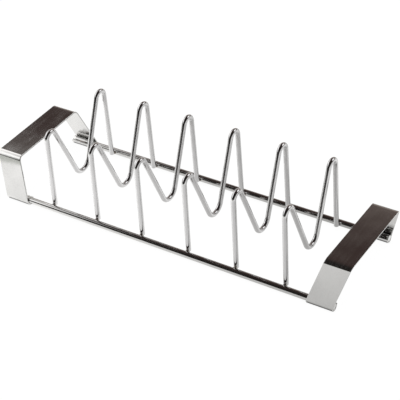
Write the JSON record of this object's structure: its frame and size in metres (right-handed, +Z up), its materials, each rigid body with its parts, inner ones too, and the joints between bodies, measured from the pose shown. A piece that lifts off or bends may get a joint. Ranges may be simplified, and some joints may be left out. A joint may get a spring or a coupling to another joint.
{
  "type": "toast rack",
  "caption": "Polished steel toast rack: M-shaped wire dividers welded across straight rails, with a bent strip handle at each end that also forms the feet.",
  "frame": {"origin": "on the table, under the middle of the rack", "axes": "+X along the rails, -Y towards the front, +Z up"},
  "size_m": [0.301, 0.0912, 0.0674],
  "materials": {
    "strip_steel": "mirror-polished stainless steel strip",
    "rail_steel": "polished stainless steel bar",
    "wire_steel": "polished stainless steel wire",
    "weld_steel": "cleaned weld, a little duller and darker than the bars"
  },
  "bodies": {
    "root": {"front_rail": "rail_steel", "rear_rail": "rail_steel", "left_handle": "strip_steel", "right_handle": "strip_steel", "divider_1": "wire_steel", "divider_2": "wire_steel", "divider_3": "wire_steel", "divider_4": "wire_steel", "divider_5": "wire_steel", "divider_6": "wire_steel", "divider_1_front_weld": "weld_steel", "divider_1_rear_weld": "weld_steel", "divider_2_front_weld": "weld_steel", "divider_2_rear_weld": "weld_steel", "divider_3_front_weld": "weld_steel", "divider_3_rear_weld": "weld_steel", "divider_4_front_weld": "weld_steel", "divider_4_rear_weld": "weld_steel", "divider_5_front_weld": "weld_steel", "divider_5_rear_weld": "weld_steel", "divider_6_front_weld": "weld_steel", "divider_6_rear_weld": "weld_steel", "left_handle_front_weld": "weld_steel", "left_handle_rear_weld": "weld_steel", "right_handle_front_weld": "weld_steel", "right_handle_rear_weld": "weld_steel"}
  },
  "joints": []
}
